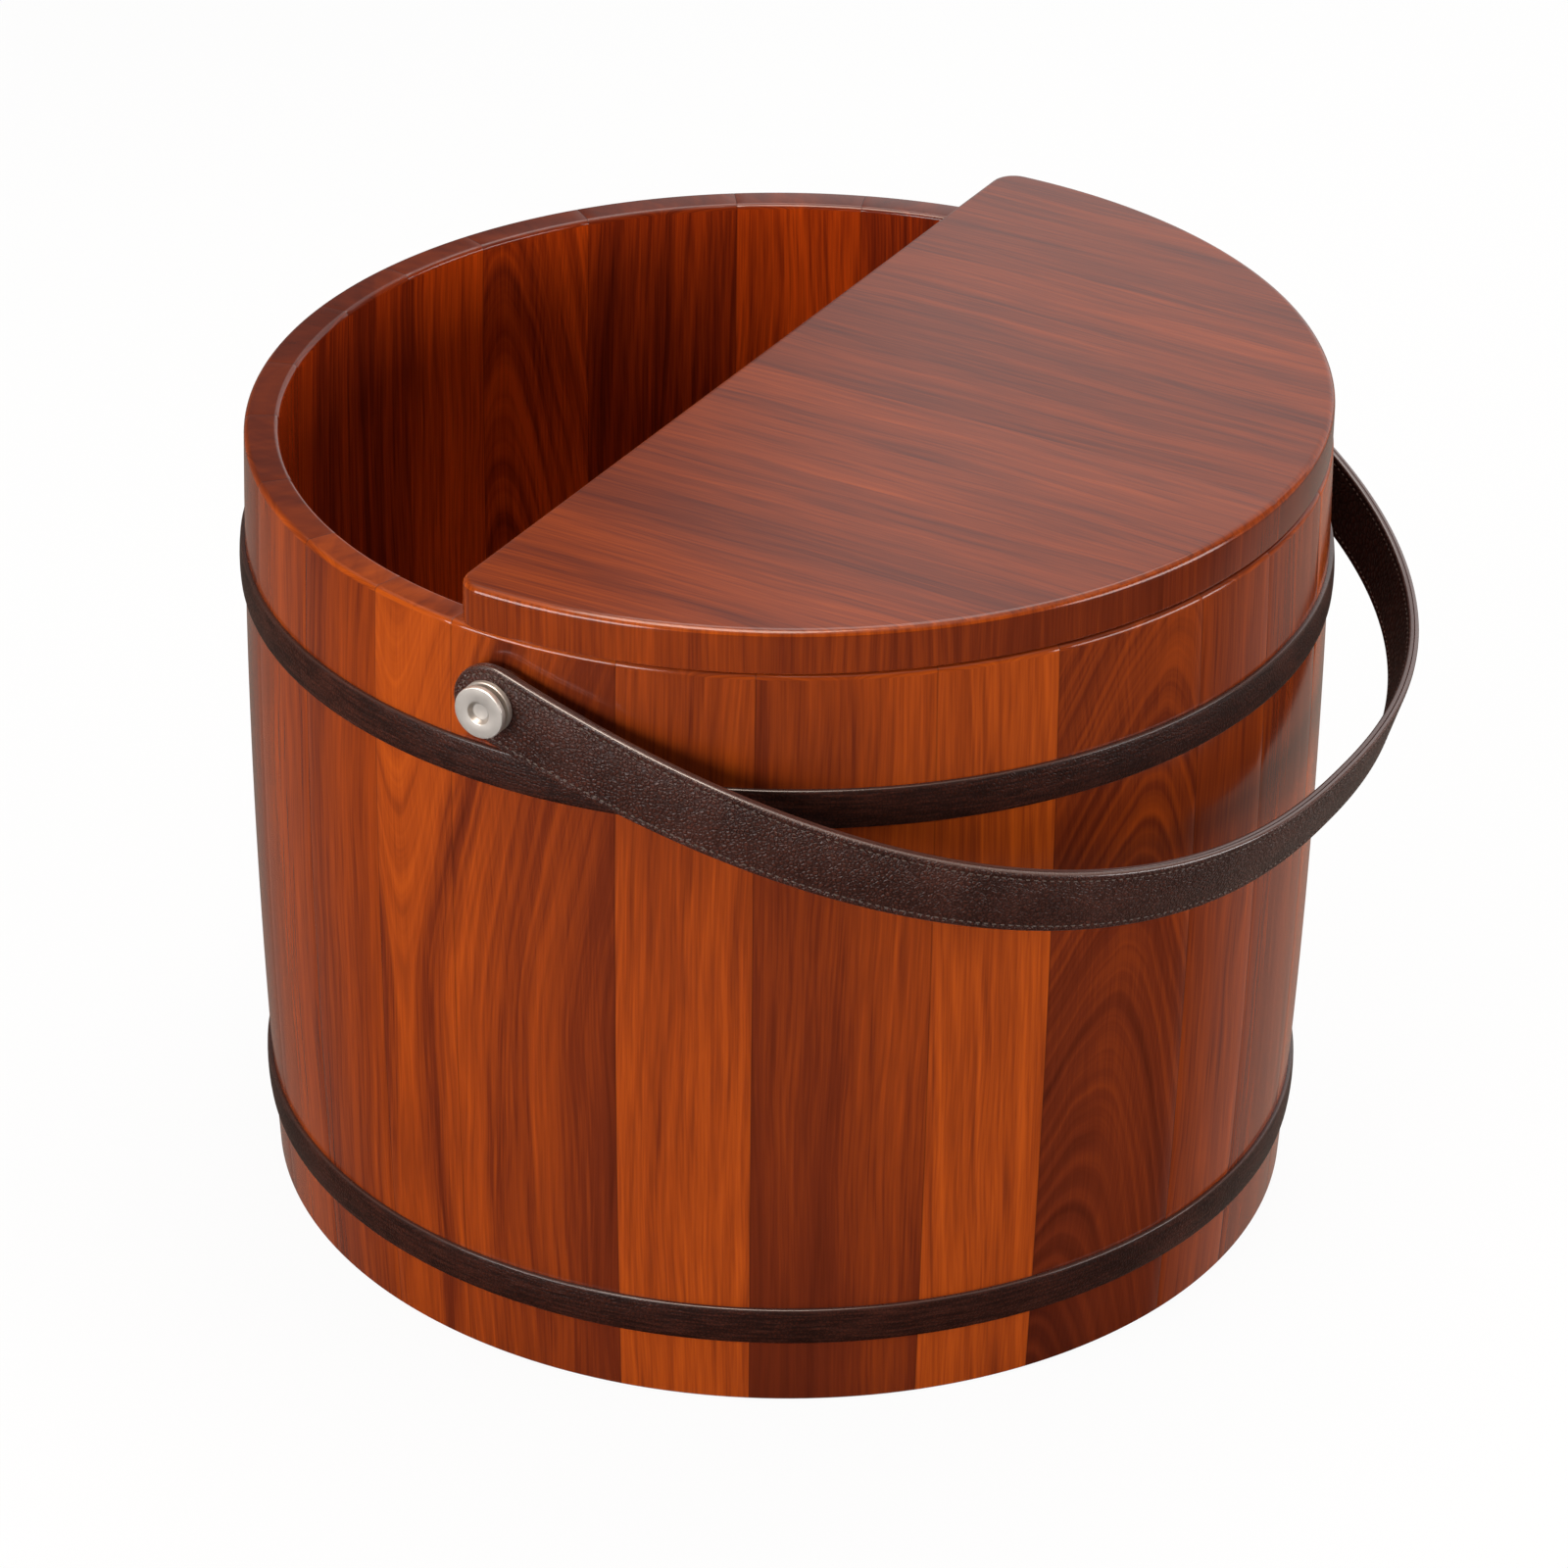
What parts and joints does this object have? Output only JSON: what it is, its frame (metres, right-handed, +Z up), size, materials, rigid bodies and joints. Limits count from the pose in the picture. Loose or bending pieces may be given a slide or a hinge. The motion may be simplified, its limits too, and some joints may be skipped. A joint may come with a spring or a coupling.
{
  "type": "foot soak tub",
  "caption": "Coopered wooden foot soak tub with leather-faced hoops, a lift-off half lid of boards and a leather carrying strap that swings on two metal studs.",
  "frame": {"origin": "on the tub's axis, at the floor", "axes": "+Z up; X along the strap's pivot axis; the lid and the strap lie towards -Y, and the open half of the tub towards +Y"},
  "size_m": [0.4298, 0.4354, 0.3213],
  "materials": {
    "stave_wood": "clear gloss lacquer over red-brown wood, vertical grain, tone differs from stave to stave",
    "lid_wood": "clear gloss lacquer over red-brown wood, grain square to the straight edge",
    "bottom_wood": "clear satin lacquer over red-brown wood",
    "batten_wood": "clear satin lacquer over red-brown wood",
    "dowel_wood": "bare pale wood",
    "hoop_leather": "smooth dark brown leather, satin",
    "strap_leather": "pebbled dark brown leather, satin, stitched along both edges",
    "band_steel": "bare steel strip",
    "screw_steel": "zinc plated",
    "pivot_nickel": "satin nickel, turned",
    "insert_brass": "bare brass"
  },
  "bodies": {
    "tub": {"stave_01": "stave_wood", "stave_02": "stave_wood", "stave_03": "stave_wood", "stave_04": "stave_wood", "stave_05": "stave_wood", "stave_06": "stave_wood", "stave_07": "stave_wood", "stave_08": "stave_wood", "stave_09": "stave_wood", "stave_10": "stave_wood", "stave_11": "stave_wood", "stave_12": "stave_wood", "stave_13": "stave_wood", "stave_14": "stave_wood", "stave_15": "stave_wood", "stave_16": "stave_wood", "stave_17": "stave_wood", "stave_18": "stave_wood", "stave_19": "stave_wood", "stave_20": "stave_wood", "stave_21": "stave_wood", "stave_22": "stave_wood", "stave_23": "stave_wood", "stave_24": "stave_wood", "bottom_board_1": "bottom_wood", "bottom_board_2": "bottom_wood", "bottom_board_3": "bottom_wood", "bottom_board_4": "bottom_wood", "bottom_board_5": "bottom_wood", "stave_dowels": "dowel_wood", "bottom_dowels": "dowel_wood", "lower_hoop_band": "band_steel", "lower_hoop_facing": "hoop_leather", "upper_hoop_band": "band_steel", "upper_hoop_facing": "hoop_leather", "left_spacer": "pivot_nickel", "left_insert": "insert_brass", "left_bush": "pivot_nickel", "left_stud": "pivot_nickel", "right_spacer": "pivot_nickel", "right_insert": "insert_brass", "right_bush": "pivot_nickel", "right_stud": "pivot_nickel"},
    "lid": {"lid_board_1": "lid_wood", "lid_board_2": "lid_wood", "lid_board_3": "lid_wood", "lid_board_4": "lid_wood", "lid_board_5": "lid_wood", "lid_board_6": "lid_wood", "lid_batten_front": "batten_wood", "lid_batten_rear": "batten_wood", "lid_screws": "screw_steel"},
    "handle": {"strap_outer": "strap_leather", "strap_lining": "strap_leather"}
  },
  "joints": [
    {"name": "handle_swing", "type": "hinge", "parent": "tub", "child": "handle", "pos_m": [0, 0, 0.2805], "axis": [-1, 0, 0], "range_deg": [-9.5, 224.5]},
    {"name": "lid_lift", "type": "slide", "parent": "tub", "child": "lid", "axis": [0, 0, 1], "range_m": [0, 0.12]}
  ]
}
